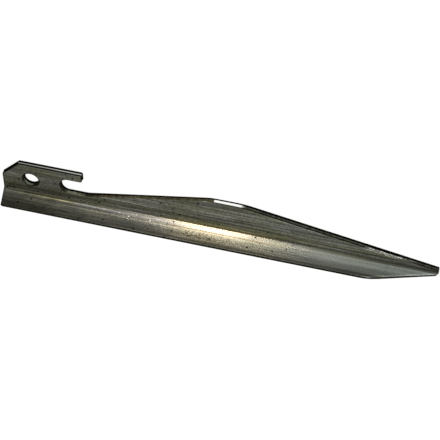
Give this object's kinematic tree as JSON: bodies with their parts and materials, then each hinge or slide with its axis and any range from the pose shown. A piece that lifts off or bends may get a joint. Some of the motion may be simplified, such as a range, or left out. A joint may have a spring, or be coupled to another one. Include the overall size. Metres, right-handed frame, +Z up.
{
  "type": "tent peg",
  "caption": "Folded sheet-steel tent peg with an open V section, a pierced eye, a rope hook at the head and a blade that tapers to a blunt point.",
  "frame": {"origin": "middle of the whole peg's footprint, on the ground that it lies on", "axes": "+X from the head to the point along the fold, +Y from the fold to the free edge of the hook flange, +Z up out of the hollow of the V, square to the hook flange"},
  "size_m": [0.23, 0.0278, 0.0104],
  "materials": {
    "oiled_steel": "bare rolled steel, oiled, dark olive grey, with fine marks along its length"
  },
  "bodies": {
    "root": {"peg_body": "oiled_steel"}
  },
  "joints": []
}
